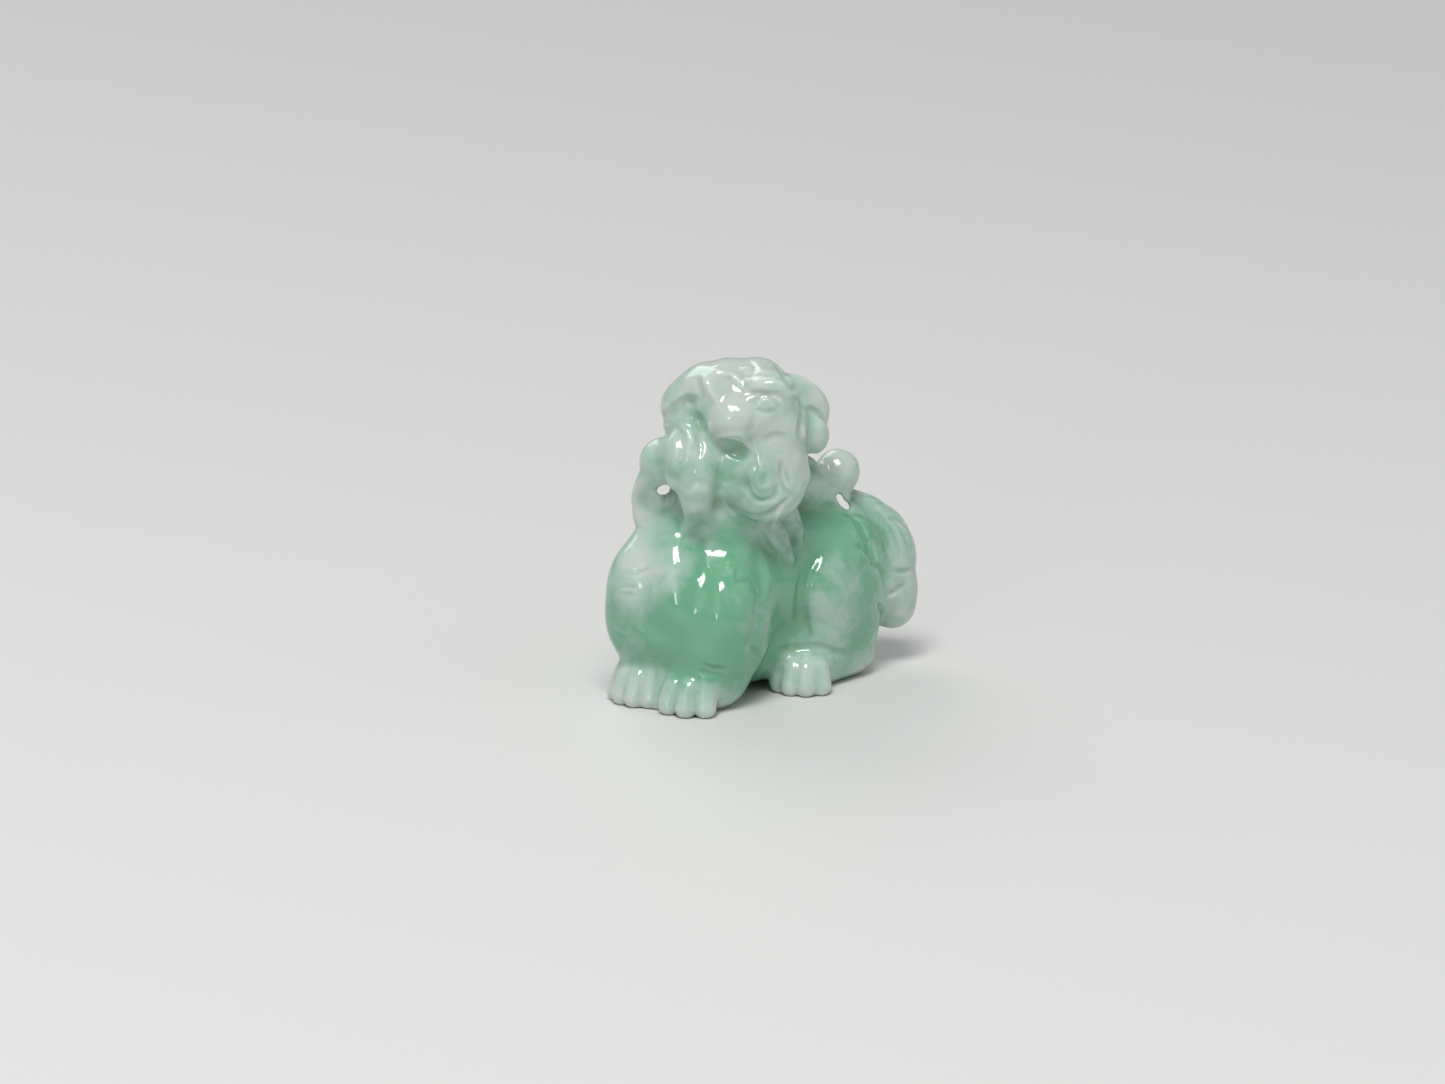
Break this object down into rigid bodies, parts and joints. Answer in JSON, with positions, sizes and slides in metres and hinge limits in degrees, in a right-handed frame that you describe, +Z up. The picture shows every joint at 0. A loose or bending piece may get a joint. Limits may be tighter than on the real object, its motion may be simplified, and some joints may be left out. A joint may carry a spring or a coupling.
{
  "type": "jade figurine",
  "caption": "Carved green stone figurine of a crouching guardian beast with its head turned to its side, a curled tail and a pearl on its back.",
  "frame": {"origin": "on the ground plane under the middle of the figurine's bounding box", "axes": "+Z up out of the surface the paws rest on, -Y the way the beast's body faces, +X the beast's left flank"},
  "size_m": [0.0204, 0.0398, 0.041],
  "materials": {
    "apple_green_jadeite": "high polish, translucent, apple green with cloudy white patches",
    "pale_green_jadeite": "high polish, translucent, pale grey-green",
    "icy_jadeite": "high polish, more translucent, almost colourless with a faint green cast"
  },
  "bodies": {
    "root": {"torso": "apple_green_jadeite", "rump": "apple_green_jadeite", "neck": "pale_green_jadeite", "chest": "apple_green_jadeite", "shoulder_left": "apple_green_jadeite", "shoulder_right": "apple_green_jadeite", "foreleg_left": "apple_green_jadeite", "foreleg_right": "apple_green_jadeite", "forepaw_left": "icy_jadeite", "foretoes_left": "icy_jadeite", "forepaw_right": "icy_jadeite", "foretoes_right": "icy_jadeite", "haunch_left": "apple_green_jadeite", "haunch_right": "apple_green_jadeite", "thigh_left": "apple_green_jadeite", "thigh_right": "apple_green_jadeite", "hind_foot_left": "pale_green_jadeite", "hind_toes_left": "icy_jadeite", "hind_foot_right": "pale_green_jadeite", "hind_toes_right": "icy_jadeite", "skull": "pale_green_jadeite", "jaw": "pale_green_jadeite", "cheek_left": "pale_green_jadeite", "cheek_right": "pale_green_jadeite", "nose": "icy_jadeite", "nose_bridge": "icy_jadeite", "brow_left": "icy_jadeite", "brow_right": "icy_jadeite", "eyes": "pale_green_jadeite", "ear_left": "icy_jadeite", "ear_right": "icy_jadeite", "ear_lobe_left": "pale_green_jadeite", "ear_lobe_right": "pale_green_jadeite", "crest_tufts": "icy_jadeite", "beard_curl": "pale_green_jadeite", "beard_lock": "pale_green_jadeite", "lingzhi_centre": "pale_green_jadeite", "lingzhi_left_lobe": "pale_green_jadeite", "lingzhi_low_lobe": "pale_green_jadeite", "lingzhi_stem": "pale_green_jadeite", "ribbon": "icy_jadeite", "mane_locks_left": "pale_green_jadeite", "mane_locks_right": "pale_green_jadeite", "mane_locks_back": "pale_green_jadeite", "tail_upper_lock": "pale_green_jadeite", "tail_lower_lock": "pale_green_jadeite", "tail_end_curl": "icy_jadeite", "tail_side_curl": "icy_jadeite", "pearl": "icy_jadeite", "pearl_seat": "icy_jadeite"}
  },
  "joints": []
}
